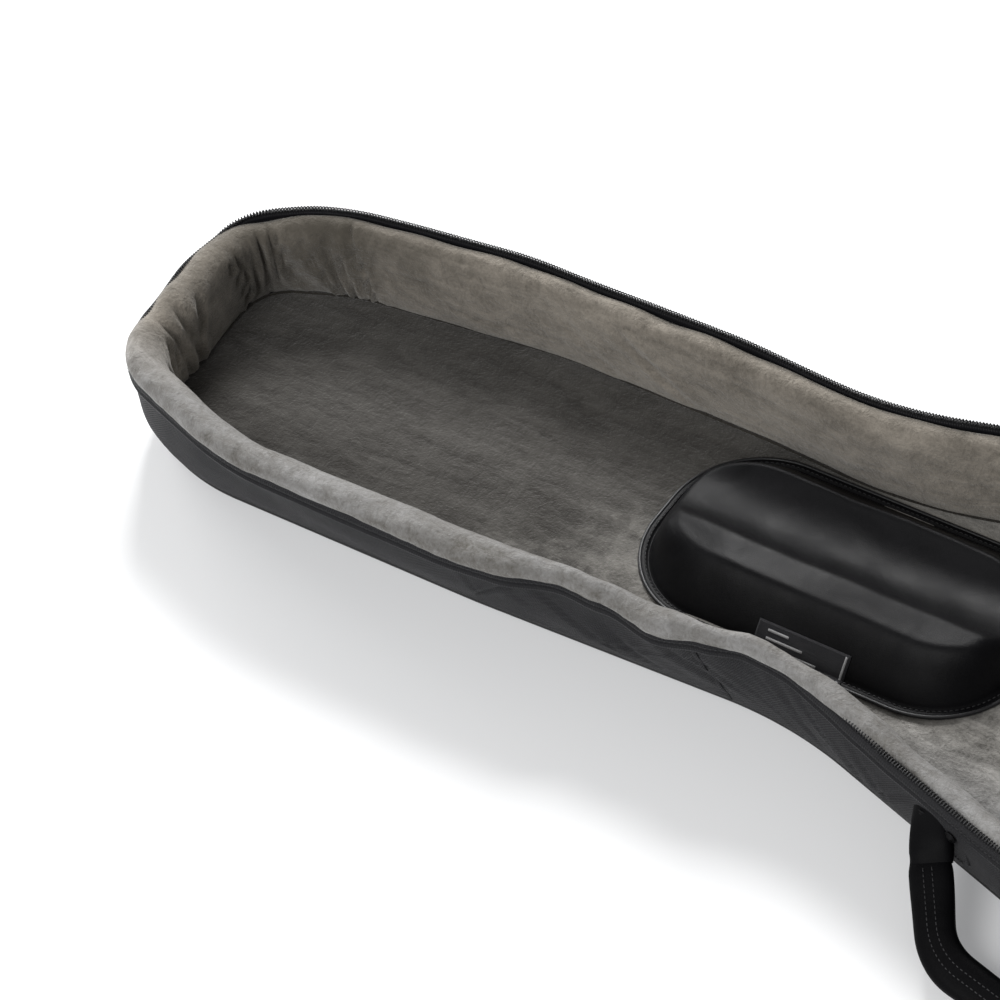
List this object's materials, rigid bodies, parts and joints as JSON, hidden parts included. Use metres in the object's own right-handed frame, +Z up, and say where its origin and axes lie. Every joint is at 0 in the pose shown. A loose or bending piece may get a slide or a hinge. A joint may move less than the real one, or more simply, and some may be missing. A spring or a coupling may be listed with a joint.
{
  "type": "padded gig bag",
  "caption": "Padded bag for a bass guitar, lying open on its back: plush-lined padded case with a neck rest, zip rim, side handle, shoulder straps and a pocketed lid folded open past the tail.",
  "frame": {"origin": "middle of the back, on the surface the bag lies on", "axes": "+X from the head end to the tail end, +Y to the side without the handle, +Z up out of the open case"},
  "size_m": [2.5463, 0.4399, 0.094],
  "materials": {
    "shell_fabric": "heavy woven, rumpled, matt",
    "pad_mesh": "open spacer mesh, matt",
    "lining_plush": "brushed plush, short nap",
    "foam": "closed-cell foam, matt",
    "zip_tape": "fine woven tape, matt",
    "zip_teeth": "moulded coil, satin",
    "piping": "smooth, satin",
    "brace_leather": "smooth synthetic leather, satin",
    "label": "woven label, matt",
    "webbing": "ribbed webbing, matt",
    "hardware": "black lacquer, satin",
    "buckle_plastic": "moulded, fine grain"
  },
  "bodies": {
    "case": {"back_cover": "shell_fabric", "back_foam": "foam", "back_spine_pad": "pad_mesh", "base_pad_ring": "pad_mesh", "base_piping": "piping", "brace_core": "foam", "brace_cover": "brace_leather", "brace_label": "label", "floor_lining": "lining_plush", "handle_anchor_front": "brace_leather", "handle_anchor_rear": "brace_leather", "handle_rivets": "hardware", "hinge_strip": "shell_fabric", "sidewall_cover": "shell_fabric", "strap_anchor_tabs": "webbing", "tail_cushion": "brace_leather", "wall_foam_bout_far": "foam", "wall_foam_bout_near": "foam", "wall_foam_head": "foam", "wall_foam_neck_far": "foam", "wall_foam_neck_near": "foam", "wall_foam_tail": "foam", "wall_foam_waist_far": "foam", "wall_foam_waist_near": "foam", "wall_lining": "lining_plush", "zip_tape_case": "zip_tape", "zip_teeth_case": "zip_teeth"},
    "lid": {"lid_cover": "shell_fabric", "lid_foam": "foam", "lid_lining": "lining_plush", "lid_piping": "piping", "zip_tape_lid": "zip_tape", "zip_teeth_lid": "zip_teeth", "pocket_large": "shell_fabric", "pocket_large_zip": "zip_teeth", "pocket_small": "shell_fabric", "pocket_small_zip": "zip_teeth"},
    "side_handle": {"handle_grip": "brace_leather", "handle_webbing": "webbing"},
    "strap_near": {"strap_near_pad": "pad_mesh", "strap_near_lead": "webbing", "strap_near_buckle": "buckle_plastic", "strap_near_tail": "webbing"},
    "strap_far": {"strap_far_pad": "pad_mesh", "strap_far_lead": "webbing", "strap_far_buckle": "buckle_plastic", "strap_far_tail": "webbing"},
    "zip_near_runner": {"zip_near_slider": "hardware"},
    "zip_near_tag": {"zip_near_pull": "hardware"},
    "zip_far_runner": {"zip_far_slider": "hardware"},
    "zip_far_tag": {"zip_far_pull": "hardware"},
    "pocket_large_runner": {"pocket_large_slider": "hardware"},
    "pocket_large_tag": {"pocket_large_pull": "hardware"},
    "pocket_small_runner": {"pocket_small_slider": "hardware"},
    "pocket_small_tag": {"pocket_small_pull": "hardware"}
  },
  "joints": [
    {"name": "lid_fold", "type": "hinge", "parent": "case", "child": "lid", "pos_m": [0.65, -0.006, 0.0943], "axis": [0, -1, 0], "range_deg": [0, 183.32]},
    {"name": "handle_lift", "type": "hinge", "parent": "case", "child": "side_handle", "pos_m": [0.11476, -0.17384, 0.038], "axis": [-0.9746, 0.2238, 0], "range_deg": [0, 88]},
    {"name": "strap_near_swing", "type": "hinge", "parent": "case", "child": "strap_near", "pos_m": [-0.019, -0.018, 0.00675], "axis": [0.9958, -0.0916, 0], "range_deg": [0, 90]},
    {"name": "strap_far_swing", "type": "hinge", "parent": "case", "child": "strap_far", "pos_m": [-0.019, 0.018, 0.00675], "axis": [-0.9958, -0.0916, 0], "range_deg": [0, 90]},
    {"name": "zip_near_run", "type": "slide", "parent": "case", "child": "zip_near_runner", "axis": [0, -1, 0], "range_m": [0, 0.028]},
    {"name": "zip_far_run", "type": "slide", "parent": "case", "child": "zip_far_runner", "axis": [0, 1, 0], "range_m": [0, 0.028]},
    {"name": "zip_near_flip", "type": "hinge", "parent": "zip_near_runner", "child": "zip_near_tag", "pos_m": [0.6454, -0.102, 0.0878], "axis": [0, -1, 0], "range_deg": [0, 40]},
    {"name": "zip_far_flip", "type": "hinge", "parent": "zip_far_runner", "child": "zip_far_tag", "pos_m": [0.6454, 0.09, 0.0878], "axis": [0, -1, 0], "range_deg": [0, 40]},
    {"name": "pocket_large_run", "type": "slide", "parent": "lid", "child": "pocket_large_runner", "axis": [0, 1, 0], "range_m": [0, 0.184]},
    {"name": "pocket_small_run", "type": "slide", "parent": "lid", "child": "pocket_small_runner", "axis": [0, 1, 0], "range_m": [0, 0.064]},
    {"name": "pocket_large_flip", "type": "hinge", "parent": "pocket_large_runner", "child": "pocket_large_tag", "pos_m": [1.10721, -0.099, 0.01559], "axis": [-0.9983, 0, 0.0579], "range_deg": [0, 110]},
    {"name": "pocket_small_flip", "type": "hinge", "parent": "pocket_small_runner", "child": "pocket_small_tag", "pos_m": [1.47746, -0.039, 0.00914], "axis": [-0.9983, 0, 0.0579], "range_deg": [0, 110]}
  ]
}
